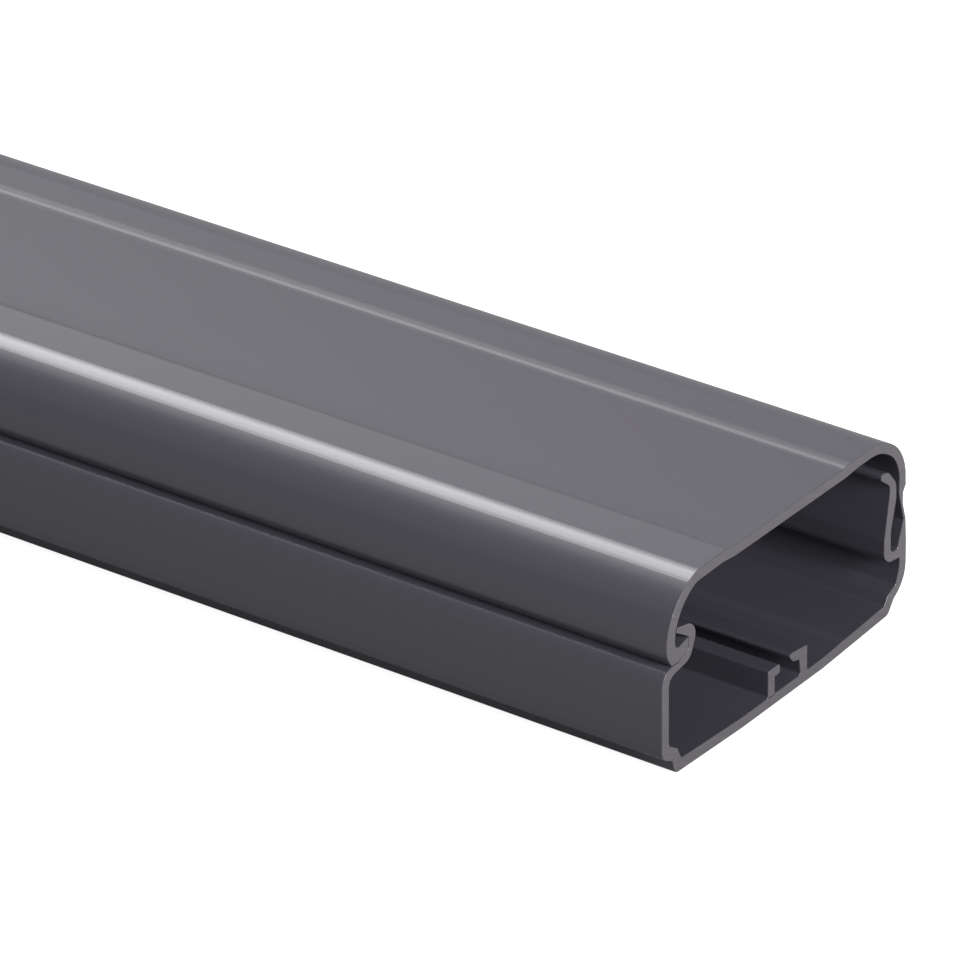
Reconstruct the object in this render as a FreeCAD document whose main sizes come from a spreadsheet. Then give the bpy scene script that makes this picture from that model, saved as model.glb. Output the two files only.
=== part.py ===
import FreeCAD, Part
import math
import os

import Sketcher

# Hinged cord cover raceway: one rigid PVC extrusion, cut to length and lying on its floor.
# The section has a trough with a T-slot rail on its floor, a cover that is one with the trough
# through a thin hinge web on the far side, and a snap latch on the near side.
# Frame: X along the length, Y across the width from latch to hinge, Z up from the underside.
# The origin is under the middle of the length and of the width.

# Each outline is drawn through sharp corners, which are then rounded. A corner's own sizes are:
#   _in     how far it lies in from the near or the far face
#   _rise   how high it lies above the underside
#   _drop   how far it lies below the top
#   _above  how high it lies above the latch's shelf
#   _below  how far it lies below the latch's shelf
#   _round  the radius that rounds it
SIZES = {
    # Stock as a whole.
    "length": 400.0,
    "width": 50.0,
    "height": 25.0,
    # Wall thicknesses.
    "base_wall": 1.4,
    "floor_wall": 1.38,
    "cover_wall": 1.4,
    "far_cover_wall": 1.33,
    "bulb_wall": 1.7,
    "web_wall": 0.45,
    # Underside: flat around the middle and lifted a little towards each foot.
    "near_flat": 9.0,
    "far_flat": 7.6,
    # Near foot outside: the wall turns in to a ledge, then drops to the underside.
    "near_ledge_rise": 3.4, "near_ledge_round": 1.65,
    "near_heel_in": 2.1, "near_heel_rise": 2.35, "near_heel_round": 0.15,
    "near_toe_in": 2.6, "near_toe_rise": 0.45, "near_toe_round": 0.9,
    # Near foot inside.
    "near_gusset_rise": 4.65, "near_gusset_round": 0.9,
    "near_knee_in": 3.06, "near_knee_rise": 3.64, "near_knee_round": 0.35,
    "near_corner_in": 3.9, "near_corner_rise": 1.97, "near_corner_round": 0.5,
    # Far foot outside.
    "far_ledge_rise": 3.92, "far_ledge_round": 4.3,
    "far_heel_in": 2.45, "far_heel_rise": 2.4, "far_heel_round": 0.4,
    "far_toe_in": 3.7, "far_toe_rise": 0.75, "far_toe_round": 1.0,
    # Far foot inside.
    "far_haunch_rise": 6.1, "far_haunch_round": 3.0,
    "far_gusset_in": 2.1, "far_gusset_rise": 4.14, "far_gusset_round": 0.5,
    "far_knee_in": 3.74, "far_knee_rise": 3.4, "far_knee_round": 0.35,
    "far_corner_in": 4.47, "far_corner_rise": 2.3, "far_corner_round": 0.5,
    # T-slot rail on the floor; its far face leans in over the slot.
    "slot_width": 5.28,
    "slot_offset": 0.37,
    "slot_lean": 0.24,
    "slot_mouth": 1.94,
    "mouth_offset": -0.24,
    "rail_wall": 1.38,
    "rail_foot_round": 0.35,
    # Near rib of the rail.
    "near_rib_rise": 4.9, "near_rib_round": 0.25,
    "near_lip_wall": 1.26, "near_lip_round": 0.45, "near_lip_under_round": 0.3,
    # Far rib, whose lip thins towards its tip.
    "far_rib_rise": 4.75, "far_rib_round": 0.4,
    "far_tip_rise": 5.18, "far_tip_round": 0.35, "far_tip_wall": 0.48,
    "far_lip_heel": 0.73, "far_lip_heel_rise": 3.85, "far_lip_round": 0.5,
    "far_lip_root_rise": 3.48,
    # How far the trough's walls run up into the latch and the hinge.
    "near_joint_rise": 10.0, "far_joint_rise": 6.7, "joint_lap": 0.3,
    # Latch: the shelf that the cover's bulb rests on, and the barb that curls back over its lip.
    "shelf_rise": 14.6, "shelf_round": 2.0,
    "shelf_bend_in": 3.3, "shelf_bend_above": 0.13, "shelf_bend_round": 0.6,
    "riser_in": 5.3, "riser_above": 0.86, "riser_round": 0.65,
    "barb_root_above": 2.51,
    "barb_tip_in": 2.8, "barb_tip_above": 4.1, "barb_tip_round": 0.12,
    "barb_nose_in": 3.1, "barb_nose_above": 4.7, "barb_nose_round": 0.3,
    "barb_back_in": 6.65,
    "barb_crown_above": 3.9, "barb_crown_round": 1.9,
    "barb_waist_above": 2.05, "barb_waist_round": 1.5,
    "shelf_heel_in": 5.66, "shelf_heel_below": 0.5, "shelf_heel_round": 1.85,
    "shelf_foot_below": 1.23, "shelf_foot_round": 1.35,
    "latch_gap": 0.05,
    # Cover, near side: the bulb that the latch holds, then the shoulder up to the crown.
    "bulb_tip_in": 1.93, "bulb_tip_round": 0.3,
    "near_side_in": 0.9, "bulb_above": 1.75, "bulb_round": 3.0,
    "near_side_drop": 5.5, "near_side_round": 6.6,
    "near_brow_in": 3.3, "near_brow_drop": 1.8, "near_brow_round": 8.0,
    "near_crown_in": 6.35, "near_crown_drop": 0.2, "near_crown_round": 4.3,
    "pocket_above": 1.84, "pocket_round": 0.8,
    "pocket_mouth_round": 0.6,
    # Cover: the panel between the crowns, with a step down to it on each side.
    "near_crest_in": 12.55, "near_step_in": 13.5, "near_step_drop": 0.3, "near_step_round": 0.8,
    "far_step_in": 13.4, "far_step_drop": 0.45,
    "far_crest_in": 12.9, "far_crest_drop": 0.33, "far_step_round": 0.35,
    "far_crown_drop": 0.28, "far_roof_in": 11.9, "far_roof_round": 3.0,
    "near_bend_in": 12.05, "near_bend_drop": 1.47,
    "near_sink_in": 14.75, "near_sink_drop": 1.73,
    "far_sink_in": 12.85, "far_sink_drop": 1.83,
    "far_bend_in": 10.35,
    "sink_round": 6.0,
    # Cover, far side: the shoulder, the bead at its foot and the strip down to the web.
    "far_crown_in": 5.57, "far_crown_round": 7.5,
    "far_brow_in": 2.18, "far_brow_drop": 2.4, "far_brow_round": 6.1,
    "far_side_in": 0.28, "far_side_drop": 5.32, "far_side_round": 6.5,
    "bead_drop": 8.35, "bead_round": 0.6,
    "bead_foot_in": 0.8, "bead_foot_drop": 9.15, "bead_foot_round": 0.8,
    "strip_in": 0.82, "strip_rise": 14.4, "strip_round": 1.0,
    "strip_back_in": 1.7, "strip_back_rise": 16.0, "strip_back_round": 1.5,
    # Hinge: the thin web, the slot below it and the guard that stands behind the slot.
    "hinge_rise": 12.15, "hinge_in": 0.2,
    "lip_rise": 9.1,
    "pit_rise": 8.8,
    "pit_near_in": 1.86, "pit_near_round": 0.4,
    "pit_far_round": 0.75,
    "guard_in": 3.3, "guard_foot_in": 4.7,
    "guard_bend_rise": 11.8, "guard_back_rise": 11.08,
    "guard_neck_in": 2.27, "guard_neck_rise": 15.55,
    "guard_throat_in": 3.66, "guard_throat_rise": 16.85, "guard_bend_round": 3.0,
    "guard_shoulder_rise": 17.75, "guard_shoulder_round": 2.0,
    "guard_top_in": 4.0, "guard_top_rise": 19.91, "guard_top_round": 1.5,
    "guard_tip_in": 5.6, "guard_tip_rise": 20.28, "guard_tip_round": 0.5,
    "guard_lip_in": 5.55, "guard_lip_rise": 19.41, "guard_lip_round": 0.3,
    "guard_hook_rise": 17.92, "guard_hook_round": 1.0,
    "guard_foot_rise": 8.65, "guard_foot_round": 1.3,
    "block_in": 3.57, "block_rise": 7.69, "block_round": 1.2,
    "block_root_rise": 7.43, "block_root_round": 0.3,
}

SHEET_NAME = "Sizes"


class Size:
    """A length that knows its formula, so a sketch starts at the number and keeps the formula."""

    def __init__(self, number, formula):
        self.number = number
        self.formula = formula

    def __add__(self, other):
        return Size(self.number + other.number, f"({self.formula} + {other.formula})")

    def __sub__(self, other):
        return Size(self.number - other.number, f"({self.formula} - {other.formula})")

    def __mul__(self, factor):
        return Size(self.number * factor, f"({self.formula} * {factor:.9g})")


def make_sheet(doc):
    """Put every driving dimension in the sheet, one row each, with its name as alias."""
    sheet = doc.addObject("Spreadsheet::Sheet", SHEET_NAME)
    for row, (alias, value) in enumerate(SIZES.items(), start=1):
        sheet.set(f"A{row}", alias)
        sheet.set(f"B{row}", str(value))
        sheet.setAlias(f"B{row}", alias)
    doc.recompute()


def size(alias):
    return Size(SIZES[alias], f"{SHEET_NAME}.{alias}")


def near_in(alias):
    """Place across the width, measured in from the near face."""
    return size(alias) - size("width") * 0.5


def far_in(alias):
    """Place across the width, measured in from the far face."""
    return size("width") * 0.5 - size(alias)


def below_top(alias):
    return size("height") - size(alias)


def above_shelf(alias):
    return size("shelf_rise") + size(alias)


def below_shelf(alias):
    return size("shelf_rise") - size(alias)


def heading(start, end):
    """Unit step from one corner towards the next."""
    run = end[0].number - start[0].number
    rise = end[1].number - start[1].number
    length = math.hypot(run, rise)
    return run / length, rise / length


def inner_corner(outline, corner, wall):
    """Corner one wall inside an outline that turns right there and has its material on the right."""
    index = outline.index(corner)
    run, rise = heading(outline[index - 1], outline[index])
    next_run, next_rise = heading(outline[index], outline[index + 1])
    spread = 1 + run * next_run + rise * next_rise
    y, z, radius = corner
    across = wall * ((rise + next_rise) / spread)
    down = wall * ((run + next_run) / spread)
    return y + across, z - down, radius - wall


def bend(corners, index):
    """Steps into and out of a corner, and the turn between them."""
    run, rise = heading(corners[index - 1], corners[index])
    next_run, next_rise = heading(corners[index], corners[(index + 1) % len(corners)])
    turn = math.atan2(run * next_rise - rise * next_run, run * next_run + rise * next_rise)
    return (run, rise), (next_run, next_rise), turn


def arc_reach(corners, index):
    """Length of edge that the arc at a corner takes up on each side of it."""
    radius = corners[index][2]
    return 0 if radius is None else radius.number * abs(math.tan(bend(corners, index)[2] / 2))


def share_that_fits(corners, index):
    """Share of a corner's radius that its two edges have room for, beside the arcs at their other ends."""
    share = 1
    for other in (index - 1, (index + 1) % len(corners)):
        (y, z, _), (other_y, other_z, _) = corners[index], corners[other]
        edge = math.hypot(y.number - other_y.number, z.number - other_z.number)
        needed = arc_reach(corners, index) + arc_reach(corners, other)
        if needed > edge:
            share = min(share, 0.98 * edge / needed)
    return share


def rounded(corners):
    """Ends of every edge and arc of a closed outline, each (y, z, turn of the arc that leaves it)."""
    ends = []
    for index, (y, z, radius) in enumerate(corners):
        if radius is None:
            ends.append((y, z, 0))
            continue
        share = share_that_fits(corners, index)
        if share < 1:
            radius = radius * share
        (run, rise), (next_run, next_rise), turn = bend(corners, index)
        reach = abs(math.tan(turn / 2))
        ends.append((y - radius * (reach * run), z - radius * (reach * rise), turn))
        ends.append((y + radius * (reach * next_run), z + radius * (reach * next_rise), 0))
    return ends


def add_arc(sketch, start, end, turn):
    """Arc from start to end that turns left for a positive angle, and right for a negative one."""
    (start_y, start_z), (end_y, end_z) = start, end
    lean = 1 / (2 * math.tan(turn / 2))
    centre_y = (start_y + end_y) / 2 - (end_z - start_z) * lean
    centre_z = (start_z + end_z) / 2 + (end_y - start_y) * lean
    radius = math.hypot(start_y - centre_y, start_z - centre_z)
    first = math.atan2(start_z - centre_z, start_y - centre_y)
    circle = Part.Circle(FreeCAD.Vector(centre_y, centre_z, 0), FreeCAD.Vector(0, 0, 1), radius)
    arc = Part.ArcOfCircle(circle, min(first, first + turn), max(first, first + turn))
    geometry = sketch.addGeometry(arc, False)
    sketch.addConstraint(Sketcher.Constraint("Angle", geometry, abs(turn)))
    return (geometry, 1, 2) if turn > 0 else (geometry, 2, 1)


def add_line(sketch, start, end):
    line = Part.LineSegment(FreeCAD.Vector(*start, 0), FreeCAD.Vector(*end, 0))
    return sketch.addGeometry(line, False), 1, 2


def pin(sketch, kind, geometry, vertex, place):
    """Hold a vertex at its distance from the sketch's origin, along one axis."""
    index = sketch.addConstraint(Sketcher.Constraint(kind, -1, 1, geometry, vertex, place.number))
    sketch.setExpression(f"Constraints[{index}]", place.formula)


def draw_outline(sketch, corners):
    """Closed outline through the corners, each (y, z, radius), with None for a sharp corner."""
    ends = rounded(corners)
    edges = []
    for (y, z, turn), (next_y, next_z, _) in zip(ends, ends[1:] + ends[:1]):
        start = (y.number, z.number)
        end = (next_y.number, next_z.number)
        edges.append(add_arc(sketch, start, end, turn) if turn else add_line(sketch, start, end))
    for (edge, _, last), (next_edge, first, _) in zip(edges, edges[1:] + edges[:1]):
        sketch.addConstraint(Sketcher.Constraint("Coincident", edge, last, next_edge, first))
    for (y, z, _), (edge, first, _) in zip(ends, edges):
        pin(sketch, "DistanceX", edge, first, y)
        pin(sketch, "DistanceY", edge, first, z)


def origin_plane(body, role):
    return next(item for item in body.Origin.OriginFeatures if item.Role == role)


def extrude(body, name, corners):
    """Pad one outline of the section along the whole length, half of it to each side."""
    sketch = body.newObject("Sketcher::SketchObject", f"{name}Sketch")
    sketch.AttachmentSupport = (origin_plane(body, "YZ_Plane"), [""])
    sketch.MapMode = "FlatFace"
    draw_outline(sketch, corners)
    pad = body.newObject("PartDesign::Pad", f"{name}Pad")
    pad.Profile = sketch
    pad.SideType = "Symmetric"
    pad.setExpression("Length", f"{SHEET_NAME}.length")
    body.Document.recompute()


def trough_outline():
    """Floor with a foot on each side, and both walls up to where the latch and the hinge begin."""
    ground = size("height") * 0
    near, far = size("width") * -0.5, size("width") * 0.5
    near_inner, far_inner = near_in("base_wall"), far_in("base_wall")
    near_flat, far_flat = size("near_flat") * -1, size("far_flat")
    near_top = size("near_joint_rise") + size("joint_lap")
    far_top = size("far_joint_rise") + size("joint_lap")
    return [
        (near, size("near_ledge_rise"), size("near_ledge_round")),
        (near_in("near_heel_in"), size("near_heel_rise"), size("near_heel_round")),
        (near_in("near_toe_in"), size("near_toe_rise"), size("near_toe_round")),
        (near_flat, ground, None),
        (far_flat, ground, None),
        (far_in("far_toe_in"), size("far_toe_rise"), size("far_toe_round")),
        (far_in("far_heel_in"), size("far_heel_rise"), size("far_heel_round")),
        (far, size("far_ledge_rise"), size("far_ledge_round")),
        (far, far_top, None),
        (far_inner, far_top, None),
        (far_inner, size("far_haunch_rise"), size("far_haunch_round")),
        (far_in("far_gusset_in"), size("far_gusset_rise"), size("far_gusset_round")),
        (far_in("far_knee_in"), size("far_knee_rise"), size("far_knee_round")),
        (far_in("far_corner_in"), size("far_corner_rise"), size("far_corner_round")),
        (far_flat, size("floor_wall"), None),
        (near_flat, size("floor_wall"), None),
        (near_in("near_corner_in"), size("near_corner_rise"), size("near_corner_round")),
        (near_in("near_knee_in"), size("near_knee_rise"), size("near_knee_round")),
        (near_inner, size("near_gusset_rise"), size("near_gusset_round")),
        (near_inner, near_top, None),
        (near, near_top, None),
    ]


def near_rib_outline():
    """Near rib of the T-slot, with its square lip over the slot."""
    ground, floor, foot = size("height") * 0, size("floor_wall"), size("rail_foot_round")
    slot_face = size("slot_offset") - size("slot_width") * 0.5
    back = slot_face - size("rail_wall")
    tip = size("mouth_offset") - size("slot_mouth") * 0.5
    top = size("near_rib_rise")
    under = top - size("near_lip_wall")
    return [
        (back - foot * 2, ground, None),
        (back - foot * 2, floor, None),
        (back, floor, foot),
        (back, top, size("near_rib_round")),
        (tip, top, size("near_lip_round")),
        (tip, under, size("near_lip_under_round")),
        (slot_face, under, None),
        (slot_face, floor, foot),
        (slot_face + foot * 2, floor, None),
        (slot_face + foot * 2, ground, None),
    ]


def far_rib_outline():
    """Far rib of the T-slot, with a lip that rises and thins towards its tip."""
    ground, floor, foot = size("height") * 0, size("floor_wall"), size("rail_foot_round")
    slot_face = size("slot_offset") + size("slot_width") * 0.5
    back = slot_face + size("rail_wall")
    tip = size("mouth_offset") + size("slot_mouth") * 0.5
    return [
        (slot_face - foot * 2, ground, None),
        (slot_face - foot * 2, floor, None),
        (slot_face, floor, foot),
        (slot_face - size("slot_lean"), size("far_lip_root_rise"), None),
        (tip + size("far_lip_heel"), size("far_lip_heel_rise"), size("far_lip_round")),
        (tip, size("far_tip_rise") - size("far_tip_wall"), None),
        (tip, size("far_tip_rise"), size("far_tip_round")),
        (back, size("far_rib_rise"), size("far_rib_round")),
        (back, floor, foot),
        (back + foot * 2, floor, None),
        (back + foot * 2, ground, None),
    ]


def latch_outline():
    """Upper near wall, the shelf that turns in from it and the barb that curls back over the shelf."""
    near, near_inner = size("width") * -0.5, near_in("base_wall")
    root = size("near_joint_rise")
    riser, back = near_in("riser_in"), near_in("barb_back_in")
    return [
        (near_inner, root, None),
        (near, root, None),
        (near, size("shelf_rise"), size("shelf_round")),
        (near_in("shelf_bend_in"), above_shelf("shelf_bend_above"), size("shelf_bend_round")),
        (riser, above_shelf("riser_above"), size("riser_round")),
        (riser, above_shelf("barb_root_above"), None),
        (near_in("barb_tip_in"), above_shelf("barb_tip_above"), size("barb_tip_round")),
        (near_in("barb_nose_in"), above_shelf("barb_nose_above"), size("barb_nose_round")),
        (back, above_shelf("barb_crown_above"), size("barb_crown_round")),
        (back, above_shelf("barb_waist_above"), size("barb_waist_round")),
        (near_in("shelf_heel_in"), below_shelf("shelf_heel_below"), size("shelf_heel_round")),
        (near_inner, below_shelf("shelf_foot_below"), size("shelf_foot_round")),
    ]


def guard_outline():
    """Hinge block, the lip that carries the web, and the guard that stands behind the slot."""
    far, far_inner = size("width") * 0.5, far_in("base_wall")
    root = size("far_joint_rise")
    web_outside = far_in("hinge_in")
    face, back = far_in("guard_in"), far_in("guard_foot_in")
    neck, throat = far_in("guard_neck_in"), far_in("guard_throat_in")
    bend = size("guard_bend_round")
    return [
        (far_inner, root, None),
        (far, root, None),
        (far, size("lip_rise"), None),
        (web_outside, size("hinge_rise"), None),
        (web_outside - size("web_wall"), size("hinge_rise"), None),
        (far_in("pit_near_in"), size("pit_rise"), size("pit_near_round")),
        (face, size("pit_rise"), size("pit_far_round")),
        (face, size("guard_bend_rise"), bend),
        (neck, size("guard_neck_rise"), bend),
        (neck, size("guard_shoulder_rise"), size("guard_shoulder_round")),
        (far_in("guard_top_in"), size("guard_top_rise"), size("guard_top_round")),
        (far_in("guard_tip_in"), size("guard_tip_rise"), size("guard_tip_round")),
        (far_in("guard_lip_in"), size("guard_lip_rise"), size("guard_lip_round")),
        (throat, size("guard_hook_rise"), size("guard_hook_round")),
        (throat, size("guard_throat_rise"), bend),
        (back, size("guard_back_rise"), bend),
        (back, size("guard_foot_rise"), size("guard_foot_round")),
        (far_in("block_in"), size("block_rise"), size("block_round")),
        (far_inner, size("block_root_rise"), size("block_root_round")),
    ]


def cover_outside():
    """Outside of the cover from the bulb over the panel to the web, with its material on the right."""
    far_roof = below_top("far_crown_drop")
    side, bulb = near_in("near_side_in"), above_shelf("shelf_bend_above") + size("latch_gap")
    far_side, step, far_step = far_in("far_side_in"), size("near_step_round"), size("far_step_round")
    return [
        (near_in("bulb_tip_in"), bulb, size("bulb_tip_round")),
        (side, above_shelf("bulb_above"), size("bulb_round")),
        (side, below_top("near_side_drop"), size("near_side_round")),
        (near_in("near_brow_in"), below_top("near_brow_drop"), size("near_brow_round")),
        (near_in("near_crown_in"), below_top("near_crown_drop"), size("near_crown_round")),
        (near_in("near_crest_in"), size("height"), None),
        (near_in("near_step_in"), below_top("near_step_drop"), step),
        (far_in("far_step_in"), below_top("far_step_drop"), far_step),
        (far_in("far_crest_in"), below_top("far_crest_drop"), far_step),
        (far_in("far_roof_in"), far_roof, size("far_roof_round")),
        (far_in("far_crown_in"), far_roof, size("far_crown_round")),
        (far_in("far_brow_in"), below_top("far_brow_drop"), size("far_brow_round")),
        (far_side, below_top("far_side_drop"), size("far_side_round")),
        (far_side, below_top("bead_drop"), size("bead_round")),
        (far_in("bead_foot_in"), below_top("bead_foot_drop"), size("bead_foot_round")),
        (far_in("strip_in"), size("strip_rise"), size("strip_round")),
        (far_in("hinge_in"), size("hinge_rise"), None),
    ]


def cover_outline():
    """The cover: its outside, then back along its inside and round the pocket that the barb fits."""
    outside = cover_outside()
    near_side, near_brow, near_crown = outside[2:5]
    far_crown, far_brow, far_side = outside[10:13]
    wall, far_wall, sink = size("cover_wall"), size("far_cover_wall"), size("sink_round")
    gap = size("latch_gap")
    pocket_mouth = near_in("riser_in") - gap
    inside = [
        (far_in("hinge_in") - size("web_wall"), size("hinge_rise"), None),
        (far_in("strip_back_in"), size("strip_back_rise"), size("strip_back_round")),
        inner_corner(outside, far_side, far_wall),
        inner_corner(outside, far_brow, far_wall),
        inner_corner(outside, far_crown, far_wall),
        (far_in("far_bend_in"), below_top("far_crown_drop") - far_wall, sink),
        (far_in("far_sink_in"), below_top("far_sink_drop"), sink),
        (near_in("near_sink_in"), below_top("near_sink_drop"), sink),
        (near_in("near_bend_in"), below_top("near_bend_drop"), sink),
        inner_corner(outside, near_crown, wall),
        inner_corner(outside, near_brow, wall),
        inner_corner(outside, near_side, size("bulb_wall")),
        (near_in("near_side_in") + size("bulb_wall"), above_shelf("pocket_above"), size("pocket_round")),
        (pocket_mouth, above_shelf("barb_root_above"), None),
        (pocket_mouth, above_shelf("riser_above") + gap, size("pocket_mouth_round")),
        (near_in("shelf_bend_in"), above_shelf("shelf_bend_above") + gap, None),
    ]
    return outside + inside


def make_extrusion(doc):
    """The whole section as one solid."""
    body = doc.addObject("PartDesign::Body", "raceway_extrusion")
    body.Label = "raceway_extrusion"
    extrude(body, "Trough", trough_outline())
    extrude(body, "NearRib", near_rib_outline())
    extrude(body, "FarRib", far_rib_outline())
    extrude(body, "Latch", latch_outline())
    extrude(body, "Guard", guard_outline())
    extrude(body, "Cover", cover_outline())
    body.Placement = FreeCAD.Placement()
    return body


def check(doc, bodies):
    """Stop before anything is written if a feature has failed or a shape isn't one sound solid."""
    for item in doc.Objects:
        if "Invalid" in item.State or "Error" in item.State:
            raise RuntimeError(f"{item.Label} failed: {item.State}")
    for body in bodies:
        if body.Shape.isNull() or not body.Shape.isValid() or len(body.Shape.Solids) != 1:
            raise RuntimeError(f"{body.Label} isn't one valid solid")


def main():
    doc = FreeCAD.newDocument("CordCoverRaceway")
    make_sheet(doc)
    bodies = [make_extrusion(doc)]
    doc.recompute()
    check(doc, bodies)
    os.makedirs("parts", exist_ok=True)
    for body in bodies:
        body.Shape.exportStep(f"parts/{body.Label}.step")


main()
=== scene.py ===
import math

import bpy
from bpy.props import FloatProperty, FloatVectorProperty, PointerProperty
from mathutils import Matrix, Vector


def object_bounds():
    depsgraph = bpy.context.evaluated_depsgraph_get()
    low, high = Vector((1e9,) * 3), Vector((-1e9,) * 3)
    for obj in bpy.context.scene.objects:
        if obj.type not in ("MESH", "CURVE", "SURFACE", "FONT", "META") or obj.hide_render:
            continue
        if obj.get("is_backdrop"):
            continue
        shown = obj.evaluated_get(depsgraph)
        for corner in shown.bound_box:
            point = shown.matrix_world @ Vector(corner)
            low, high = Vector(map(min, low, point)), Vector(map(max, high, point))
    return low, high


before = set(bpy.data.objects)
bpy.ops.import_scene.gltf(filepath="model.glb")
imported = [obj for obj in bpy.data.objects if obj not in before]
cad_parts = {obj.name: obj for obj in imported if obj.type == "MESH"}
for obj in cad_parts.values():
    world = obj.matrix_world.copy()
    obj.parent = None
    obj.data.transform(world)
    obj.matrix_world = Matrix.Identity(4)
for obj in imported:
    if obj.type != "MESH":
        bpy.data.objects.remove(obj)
CAD_LOW, CAD_HIGH = (Vector(corner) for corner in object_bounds())

bl_info = {
    "name": "Cord Cover Raceway",
    "version": (1, 0, 0),
    "blender": (4, 5, 0),
    "location": "3D View > Sidebar > Raceway",
    "description": "Finish of a hinged PVC cord cover raceway, with a plain studio round it",
    "category": "3D View",
}

EXTRUSION = "raceway_extrusion"
WHITE = (1.0, 1.0, 1.0, 1.0)
SENSOR_WIDTH = 36.0

PLASTIC_IOR = 1.5
GRAIN_SIZE = 0.00022
GRAIN_RELIEF = 0.5
SAW_RELIEF = 6.0
BUMP_STRENGTH = 0.6
BUMP_HEIGHT = 0.0000008

WELD_DISTANCE = 1e-6
EDGE_ANGLE = math.radians(40)
EDGE_SEGMENTS = 3

# Each lamp: name, direction and distance from the part in view, sides along and across, brightness.
LAMPS = (
    ("crown_lamp", (-0.56, 0.263, 0.79), 4.0, (1.7, 2.75), 11.5),
    ("back_lamp", (-0.48, 0.80, 0.33), 4.0, (5.0, 2.4), 0.25),
    ("end_lamp", (0.90, -0.16, 0.36), 3.0, (1.4, 1.4), 29.0),
)


class RacewayFinish(bpy.types.PropertyGroup):
    """Sizes and colours of the extruded plastic."""

    skin_colour: FloatVectorProperty(
        name="Skin Colour",
        description="Colour of the extruded skin",
        subtype="COLOR",
        size=3,
        min=0.0,
        max=1.0,
        default=(0.047, 0.0438, 0.0555),
    )
    cut_colour: FloatVectorProperty(
        name="Cut Colour",
        description="Colour of the sawn ends, paler than the skin",
        subtype="COLOR",
        size=3,
        min=0.0,
        max=1.0,
        default=(0.062, 0.058, 0.064),
    )
    skin_roughness: FloatProperty(
        name="Skin Roughness",
        description="Roughness of the extruded skin",
        subtype="FACTOR",
        min=0.0,
        max=1.0,
        default=0.30,
    )
    cut_roughness: FloatProperty(
        name="Cut Roughness",
        description="Roughness of the sawn ends",
        subtype="FACTOR",
        min=0.0,
        max=1.0,
        default=0.55,
    )
    specular_level: FloatProperty(
        name="Specular Level",
        description="Strength of the plastic's mirror reflection",
        subtype="FACTOR",
        min=0.0,
        max=1.0,
        default=0.5,
    )
    edge_round: FloatProperty(
        name="Edge Round",
        description="Width of the eased edge round each sawn end",
        subtype="DISTANCE",
        unit="LENGTH",
        min=0.0,
        max=0.001,
        default=0.0001,
    )
    streak_spacing: FloatProperty(
        name="Streak Spacing",
        description="Distance between die lines across the extrusion",
        subtype="DISTANCE",
        unit="LENGTH",
        min=0.0001,
        max=0.01,
        default=0.0025,
    )
    streak_length: FloatProperty(
        name="Streak Length",
        description="Length over which a die line fades and changes",
        subtype="DISTANCE",
        unit="LENGTH",
        min=0.01,
        max=1.0,
        default=0.35,
    )
    step_place: FloatProperty(
        name="Dull Line Place",
        description="Place across the cover of the dull line along its far step",
        subtype="DISTANCE",
        unit="LENGTH",
        default=0.01185,
    )
    step_width: FloatProperty(
        name="Dull Line Half Width",
        description="Half of the width of the dull line",
        subtype="DISTANCE",
        unit="LENGTH",
        min=0.0001,
        max=0.01,
        default=0.0009,
    )
    step_roughness: FloatProperty(
        name="Dull Line Roughness",
        description="Roughness along the dull line",
        subtype="FACTOR",
        min=0.0,
        max=1.0,
        default=0.5,
    )
    saw_spacing: FloatProperty(
        name="Saw Mark Spacing",
        description="Distance between the marks that the saw left on the ends",
        subtype="DISTANCE",
        unit="LENGTH",
        min=0.00005,
        max=0.005,
        default=0.00045,
    )


class RacewayStudio(bpy.types.PropertyGroup):
    """Camera, floor and sky."""

    azimuth: FloatProperty(
        name="Azimuth",
        description="Side that the camera stands on, from -Y towards +X",
        subtype="ANGLE",
        unit="ROTATION",
        default=math.radians(36.134),
    )
    elevation: FloatProperty(
        name="Elevation",
        description="Angle of the camera above the floor",
        subtype="ANGLE",
        unit="ROTATION",
        default=math.radians(28.689),
    )
    roll: FloatProperty(
        name="Roll",
        description="Turn of the camera about its own axis",
        subtype="ANGLE",
        unit="ROTATION",
        default=math.radians(-0.635),
    )
    distance: FloatProperty(
        name="Distance",
        description="Distance from the camera to the point that it aims at",
        subtype="DISTANCE",
        unit="LENGTH",
        min=0.1,
        max=10.0,
        default=0.9898,
    )
    focal_length: FloatProperty(
        name="Focal Length",
        description="Focal length of the lens in millimetres",
        min=10.0,
        max=1000.0,
        default=316.1,
    )
    aim_from_end: FloatProperty(
        name="Aim From End",
        description="Distance from the near sawn end back to the point that the camera aims at",
        subtype="DISTANCE",
        unit="LENGTH",
        default=0.04572,
    )
    aim_across: FloatProperty(
        name="Aim Across",
        description="Sideways place of the point that the camera aims at",
        subtype="DISTANCE",
        unit="LENGTH",
        default=0.00341,
    )
    aim_height: FloatProperty(
        name="Aim Height",
        description="Height of the point that the camera aims at",
        subtype="DISTANCE",
        unit="LENGTH",
        default=0.0125,
    )
    floor_side: FloatProperty(
        name="Floor Side",
        description="Side of the square floor",
        subtype="DISTANCE",
        unit="LENGTH",
        default=40.0,
    )
    floor_colour: FloatVectorProperty(
        name="Floor Colour",
        description="Colour of the studio floor",
        subtype="COLOR",
        size=3,
        min=0.0,
        max=1.0,
        default=(0.32, 0.32, 0.32),
    )
    floor_lift: FloatProperty(
        name="Floor Lift",
        description="Brightness added to the floor for the camera, so that its shadow stays pale",
        min=0.0,
        max=1.0,
        default=0.9,
    )
    sky_strength: FloatProperty(
        name="Sky Strength",
        description="Even light from all round that reaches the object",
        min=0.0,
        max=2.0,
        default=0.38,
    )


def finish():
    return bpy.context.scene.raceway_finish


def studio():
    return bpy.context.scene.raceway_studio


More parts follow.
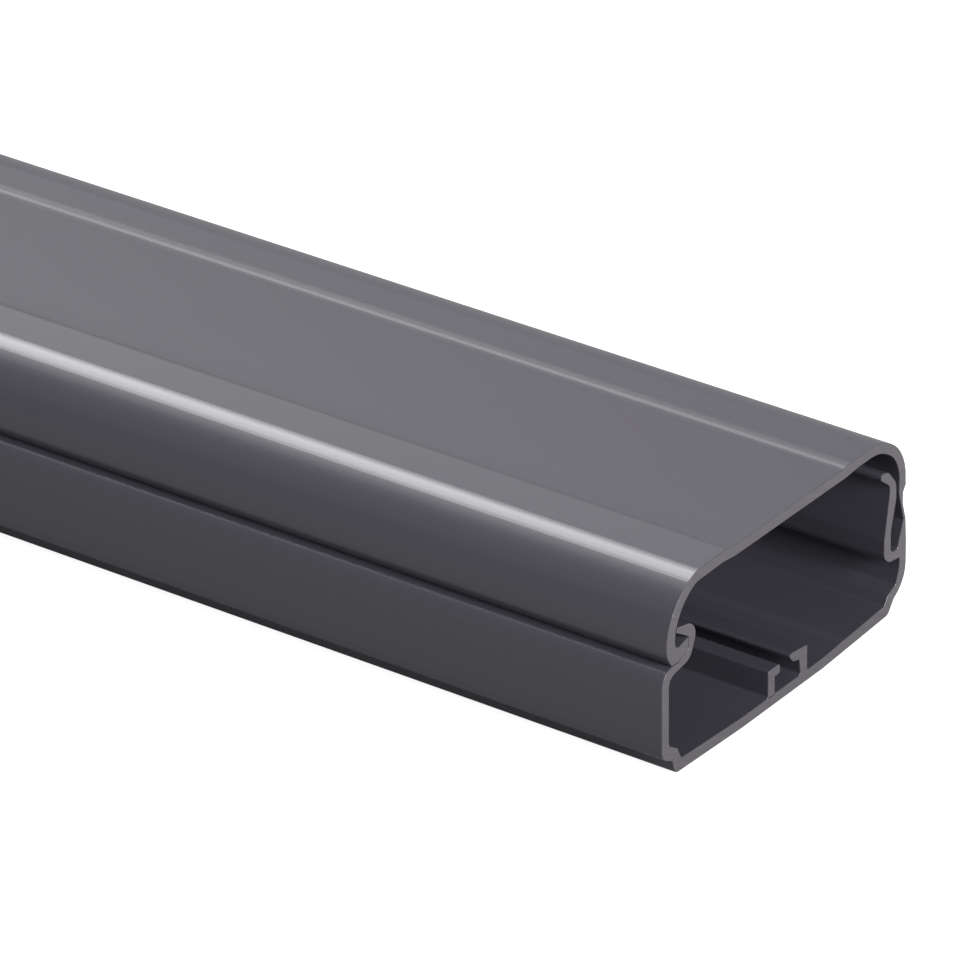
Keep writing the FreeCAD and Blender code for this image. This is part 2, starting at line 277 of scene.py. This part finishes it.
def add_node(tree, kind, **inputs):
    """Node of the given kind, with its inputs set by name."""
    node = tree.nodes.new(kind)
    for name, value in inputs.items():
        node.inputs[name.replace("_", " ")].default_value = value
    return node


def add_math(tree, operation, first, second=None):
    """Math node; each operand is a socket or a number."""
    node = tree.nodes.new("ShaderNodeMath")
    node.operation = operation
    for socket, operand in zip(node.inputs, (first, second)):
        if operand is None:
            continue
        if isinstance(operand, bpy.types.NodeSocket):
            tree.links.new(operand, socket)
        else:
            socket.default_value = operand
    return node.outputs[0]


def add_scaled(tree, base, value, factor):
    """Base plus a value times a factor; the base is a socket or a number."""
    return add_math(tree, "ADD", base, add_math(tree, "MULTIPLY", value, factor))


def add_map(tree, value, low, high, to_low=0.0, to_high=1.0, smooth=False):
    """Map Range node over a socket, clamped."""
    node = tree.nodes.new("ShaderNodeMapRange")
    node.interpolation_type = "SMOOTHSTEP" if smooth else "LINEAR"
    tree.links.new(value, node.inputs["Value"])
    node.inputs["From Min"].default_value = low
    node.inputs["From Max"].default_value = high
    node.inputs["To Min"].default_value = to_low
    node.inputs["To Max"].default_value = to_high
    return node.outputs["Result"]


def new_group(name, inputs, outputs):
    """Shader node group with float inputs (name, default) and float outputs (name)."""
    tree = bpy.data.node_groups.new(name, "ShaderNodeTree")
    for label, default in inputs:
        socket = tree.interface.new_socket(label, in_out="INPUT", socket_type="NodeSocketFloat")
        socket.default_value = default
    for label in outputs:
        tree.interface.new_socket(label, in_out="OUTPUT", socket_type="NodeSocketFloat")
    return tree, tree.nodes.new("NodeGroupInput"), tree.nodes.new("NodeGroupOutput")


def object_place(tree):
    """X, Y and Z of the point on the object, in metres."""
    split = tree.nodes.new("ShaderNodeSeparateXYZ")
    tree.links.new(tree.nodes.new("ShaderNodeTexCoord").outputs["Object"], split.inputs[0])
    return split.outputs


def stretched_noise(tree, across, along, detail):
    """Noise stretched along the extrusion; across and along are sockets with sizes in metres."""
    place = object_place(tree)
    join = tree.nodes.new("ShaderNodeCombineXYZ")
    for axis, length in {"X": along, "Y": across, "Z": across}.items():
        tree.links.new(add_math(tree, "DIVIDE", place[axis], length), join.inputs[axis])
    noise = add_node(tree, "ShaderNodeTexNoise", Scale=1.0, Detail=detail, Roughness=0.55)
    tree.links.new(join.outputs[0], noise.inputs["Vector"])
    return noise.outputs["Fac"]


def die_lines_group():
    """Fine lines and wide faint bands that the extrusion die draws along the skin."""
    tree, inlet, outlet = new_group(
        "Die Lines", (("Spacing", 0.001), ("Length", 0.3)), ("Lines", "Bands")
    )
    spacing, length = inlet.outputs["Spacing"], inlet.outputs["Length"]
    lines = stretched_noise(tree, spacing, length, 0.0)
    bands = stretched_noise(tree, add_math(tree, "MULTIPLY", spacing, 4.0), length, 1.0)
    tree.links.new(add_map(tree, lines, 0.1, 0.9), outlet.inputs["Lines"])
    tree.links.new(add_map(tree, bands, 0.1, 0.9), outlet.inputs["Bands"])
    return tree


def grain_group():
    """Even fine grain of the plastic, and a mottle much wider than the grain."""
    tree, inlet, outlet = new_group("Fine Grain", (("Size", 0.0002),), ("Grain", "Mottle"))
    fine = inlet.outputs["Size"]
    wide = add_math(tree, "MULTIPLY", fine, 60.0)
    tree.links.new(stretched_noise(tree, fine, fine, 2.0), outlet.inputs["Grain"])
    mottle = stretched_noise(tree, wide, wide, 3.0)
    tree.links.new(add_map(tree, mottle, 0.1, 0.9), outlet.inputs["Mottle"])
    return tree


def dull_line_group():
    """Mask of a dull line along the extrusion, at a place across it."""
    tree, inlet, outlet = new_group(
        "Dull Line", (("Place", 0.0), ("Half Width", 0.001)), ("Line",)
    )
    away = add_math(tree, "SUBTRACT", object_place(tree)["Y"], inlet.outputs["Place"])
    away = add_math(tree, "ABSOLUTE", away)
    away = add_math(tree, "DIVIDE", away, inlet.outputs["Half Width"])
    line = add_map(tree, away, 0.5, 1.0, to_low=1.0, to_high=0.0, smooth=True)
    tree.links.new(line, outlet.inputs["Line"])
    return tree


def sawn_end_group():
    """Mask of the sawn ends, from the way the surface faces, and the marks that the saw left."""
    tree, inlet, outlet = new_group("Sawn End", (("Spacing", 0.0005),), ("End", "Marks"))
    facing = tree.nodes.new("ShaderNodeSeparateXYZ")
    normal = tree.nodes.new("ShaderNodeNewGeometry").outputs["True Normal"]
    tree.links.new(normal, facing.inputs[0])
    along = add_math(tree, "ABSOLUTE", facing.outputs["X"])
    tree.links.new(add_map(tree, along, 0.8, 0.95, smooth=True), outlet.inputs["End"])
    place, spacing = object_place(tree), inlet.outputs["Spacing"]
    across = add_scaled(tree, place["Z"], place["Y"], 0.35)
    down = add_math(tree, "MULTIPLY", spacing, 30.0)
    join = tree.nodes.new("ShaderNodeCombineXYZ")
    tree.links.new(add_math(tree, "DIVIDE", across, spacing), join.inputs["X"])
    tree.links.new(add_math(tree, "DIVIDE", place["Y"], down), join.inputs["Y"])
    noise = add_node(tree, "ShaderNodeTexNoise", Scale=1.0, Detail=3.0, Roughness=0.6)
    tree.links.new(join.outputs[0], noise.inputs["Vector"])
    tree.links.new(add_map(tree, noise.outputs["Fac"], 0.3, 0.7), outlet.inputs["Marks"])
    return tree


def place_group(tree, group, **inputs):
    """Group node with its inputs set by name."""
    node = tree.nodes.new("ShaderNodeGroup")
    node.node_tree = group
    for name, value in inputs.items():
        node.inputs[name.replace("_", " ")].default_value = value
    return node


def add_colour_mix(tree, factor, first, second):
    """Colour mix; the factor is a socket, and each colour is a socket or an RGB triple."""
    node = tree.nodes.new("ShaderNodeMix")
    node.data_type = "RGBA"
    tree.links.new(factor, node.inputs["Factor"])
    for name, colour in (("A", first), ("B", second)):
        socket = next(s for s in node.inputs if s.name == name and s.type == "RGBA")
        if isinstance(colour, bpy.types.NodeSocket):
            tree.links.new(colour, socket)
        else:
            socket.default_value = (*colour, 1.0)
    return next(s for s in node.outputs if s.type == "RGBA")


def add_float_mix(tree, factor, first, second):
    """Number mix; each of the three is a socket or a number."""
    node = tree.nodes.new("ShaderNodeMix")
    node.data_type = "FLOAT"
    for socket, value in zip(node.inputs[:1] + node.inputs[2:4], (factor, first, second)):
        if isinstance(value, bpy.types.NodeSocket):
            tree.links.new(value, socket)
        else:
            socket.default_value = value
    return node.outputs[0]


def shades(colour, darker, paler):
    """Two shades of a colour, each by its factor."""
    return [tuple(channel * factor for channel in colour) for factor in (darker, paler)]


def plastic_colour(tree, lines, sawn):
    """Skin with faint bands, and the paler cut with its saw marks."""
    look = finish()
    skin = add_colour_mix(tree, lines.outputs["Bands"], *shades(look.skin_colour, 0.95, 1.05))
    cut = add_colour_mix(tree, sawn.outputs["Marks"], *shades(look.cut_colour, 0.88, 1.1))
    return add_colour_mix(tree, sawn.outputs["End"], skin, cut)


def plastic_roughness(tree, lines, grain, sawn):
    """Roughness of the skin, of the dull line along the far step, and of the cut."""
    look = finish()
    dull = place_group(
        tree, dull_line_group(), Place=look.step_place, Half_Width=look.step_width
    )
    duller = look.step_roughness - look.skin_roughness
    rough = add_scaled(tree, look.skin_roughness - 0.015, lines.outputs["Lines"], 0.02)
    rough = add_scaled(tree, rough, grain.outputs["Mottle"], 0.01)
    rough = add_scaled(tree, rough, dull.outputs["Line"], duller)
    return add_float_mix(tree, sawn.outputs["End"], rough, look.cut_roughness)


def plastic_relief(tree, lines, grain, sawn):
    """Normal from the die lines and grain of the skin, and from the saw marks on the cut."""
    skin = add_scaled(tree, lines.outputs["Lines"], grain.outputs["Grain"], GRAIN_RELIEF)
    cut = add_math(tree, "MULTIPLY", sawn.outputs["Marks"], SAW_RELIEF)
    bump = add_node(tree, "ShaderNodeBump", Strength=BUMP_STRENGTH, Distance=BUMP_HEIGHT)
    tree.links.new(add_float_mix(tree, sawn.outputs["End"], skin, cut), bump.inputs["Height"])
    return bump.outputs["Normal"]


def plastic_material():
    """Extruded PVC: satin skin with die lines, and paler sawn ends with saw marks."""
    look = finish()
    material = bpy.data.materials.new("extruded pvc")
    material.use_nodes = True
    tree = material.node_tree
    shader = tree.nodes["Principled BSDF"]
    shader.inputs["Specular IOR Level"].default_value = look.specular_level
    shader.inputs["IOR"].default_value = PLASTIC_IOR
    lines = place_group(
        tree, die_lines_group(), Spacing=look.streak_spacing, Length=look.streak_length
    )
    grain = place_group(tree, grain_group(), Size=GRAIN_SIZE)
    sawn = place_group(tree, sawn_end_group(), Spacing=look.saw_spacing)
    tree.links.new(plastic_colour(tree, lines, sawn), shader.inputs["Base Color"])
    tree.links.new(plastic_roughness(tree, lines, grain, sawn), shader.inputs["Roughness"])
    tree.links.new(plastic_relief(tree, lines, grain, sawn), shader.inputs["Normal"])
    return material


def floor_material():
    """Plain pale floor; the camera alone sees it lifted to white, with a faint shadow left."""
    material = bpy.data.materials.new("studio floor")
    material.use_nodes = True
    tree = material.node_tree
    shader = tree.nodes["Principled BSDF"]
    shader.inputs["Base Color"].default_value = (*studio().floor_colour, 1.0)
    shader.inputs["Roughness"].default_value = 0.9
    shader.inputs["Specular IOR Level"].default_value = 0.0
    shader.inputs["Emission Color"].default_value = WHITE
    to_camera = tree.nodes.new("ShaderNodeLightPath").outputs["Is Camera Ray"]
    lift = add_math(tree, "MULTIPLY", to_camera, studio().floor_lift)
    tree.links.new(lift, shader.inputs["Emission Strength"])
    return material


class RACEWAY_OT_extrusion(bpy.types.Operator):
    """Finish the extrusion: ease the edges of its sawn ends and give it the plastic"""

    bl_idname = "raceway.extrusion"
    bl_label = "Finish Extrusion"

    def execute(self, context):
        piece = bpy.data.objects[EXTRUSION]
        weld = piece.modifiers.new("Weld", "WELD")
        weld.merge_threshold = WELD_DISTANCE
        bevel = piece.modifiers.new("Eased Edges", "BEVEL")
        bevel.width = finish().edge_round
        bevel.segments = EDGE_SEGMENTS
        bevel.limit_method = "ANGLE"
        bevel.angle_limit = EDGE_ANGLE
        bevel.use_clamp_overlap = False
        even = piece.modifiers.new("Even Shading", "WEIGHTED_NORMAL")
        even.mode = "FACE_AREA"
        even.keep_sharp = True
        material = plastic_material()
        for slot in piece.material_slots:
            slot.material = material
        return {"FINISHED"}


class RACEWAY_OT_stage(bpy.types.Operator):
    """Lay the floor, hang the lamps and set the camera"""

    bl_idname = "raceway.stage"
    bl_label = "Set Stage"

    def execute(self, context):
        lay_floor()
        for lamp in LAMPS:
            hang_lamp(*lamp)
        set_sky()
        set_camera()
        context.scene.view_settings.view_transform = "Standard"
        return {"FINISHED"}


def lay_floor():
    half = studio().floor_side / 2
    mesh = bpy.data.meshes.new("studio_floor")
    corners = [(-half, -half, 0), (half, -half, 0), (half, half, 0), (-half, half, 0)]
    mesh.from_pydata(corners, [], [(0, 1, 2, 3)])
    floor = bpy.data.objects.new("studio_floor", mesh)
    mesh.materials.append(floor_material())
    bpy.context.collection.objects.link(floor)
    floor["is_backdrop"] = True


def hang_lamp(name, direction, distance, size, brightness):
    """Soft lamp in a direction from the part in view, aimed at it, with a side along the piece."""
    along, across = size
    light = bpy.data.lights.new(name, "AREA")
    light.shape = "RECTANGLE"
    light.size, light.size_y = along, across
    light.energy = brightness * math.pi * along * across
    away = Vector(direction).normalized()
    side = away.cross(Vector((1, 0, 0))).normalized()
    lamp = bpy.data.objects.new(name, light)
    turn = Matrix((side.cross(away), side, away)).transposed().to_4x4()
    lamp.matrix_world = Matrix.Translation(aim_point() + away * distance) @ turn
    lamp.visible_camera = False
    bpy.context.collection.objects.link(lamp)


def set_sky():
    """Plain even sky."""
    world = bpy.data.worlds.new("studio_sky")
    world.use_nodes = True
    background = world.node_tree.nodes["Background"]
    background.inputs["Color"].default_value = WHITE
    background.inputs["Strength"].default_value = studio().sky_strength
    bpy.context.scene.world = world


def aim_point():
    """Point of the object that the camera aims at."""
    view = studio()
    return Vector((CAD_HIGH.x - view.aim_from_end, view.aim_across, view.aim_height))


def set_camera():
    """Long lens at the photograph's angle."""
    view = studio()
    level = math.cos(view.elevation)
    side, front = math.sin(view.azimuth) * level, -math.cos(view.azimuth) * level
    back = Vector((side, front, math.sin(view.elevation)))
    data = bpy.data.cameras.new("camera")
    data.lens = view.focal_length
    data.sensor_width = SENSOR_WIDTH
    data.clip_end = 100.0
    camera = bpy.data.objects.new("camera", data)
    turn = back.to_track_quat("Z", "Y").to_matrix().to_4x4()
    roll = Matrix.Rotation(view.roll, 4, "Z")
    camera.matrix_world = Matrix.Translation(aim_point() + back * view.distance) @ turn @ roll
    bpy.context.collection.objects.link(camera)
    bpy.context.scene.camera = camera


class RACEWAY_PT_panel(bpy.types.Panel):
    """Raceway tools"""

    bl_idname = "RACEWAY_PT_panel"
    bl_label = "Cord Cover Raceway"
    bl_space_type = "VIEW_3D"
    bl_region_type = "UI"
    bl_category = "Raceway"

    def draw(self, context):
        layout = self.layout
        for settings in (context.scene.raceway_finish, context.scene.raceway_studio):
            box = layout.box()
            for name in settings.__annotations__:
                box.prop(settings, name)
        layout.operator(RACEWAY_OT_extrusion.bl_idname)
        layout.operator(RACEWAY_OT_stage.bl_idname)


CLASSES = (
    RacewayFinish,
    RacewayStudio,
    RACEWAY_OT_extrusion,
    RACEWAY_OT_stage,
    RACEWAY_PT_panel,
)


def register():
    for item in CLASSES:
        bpy.utils.register_class(item)
    bpy.types.Scene.raceway_finish = PointerProperty(type=RacewayFinish)
    bpy.types.Scene.raceway_studio = PointerProperty(type=RacewayStudio)


def unregister():
    del bpy.types.Scene.raceway_studio
    del bpy.types.Scene.raceway_finish
    for item in reversed(CLASSES):
        bpy.utils.unregister_class(item)


def main():
    register()
    bpy.ops.raceway.extrusion()
    bpy.ops.raceway.stage()


if __name__ == "__main__":
    main()
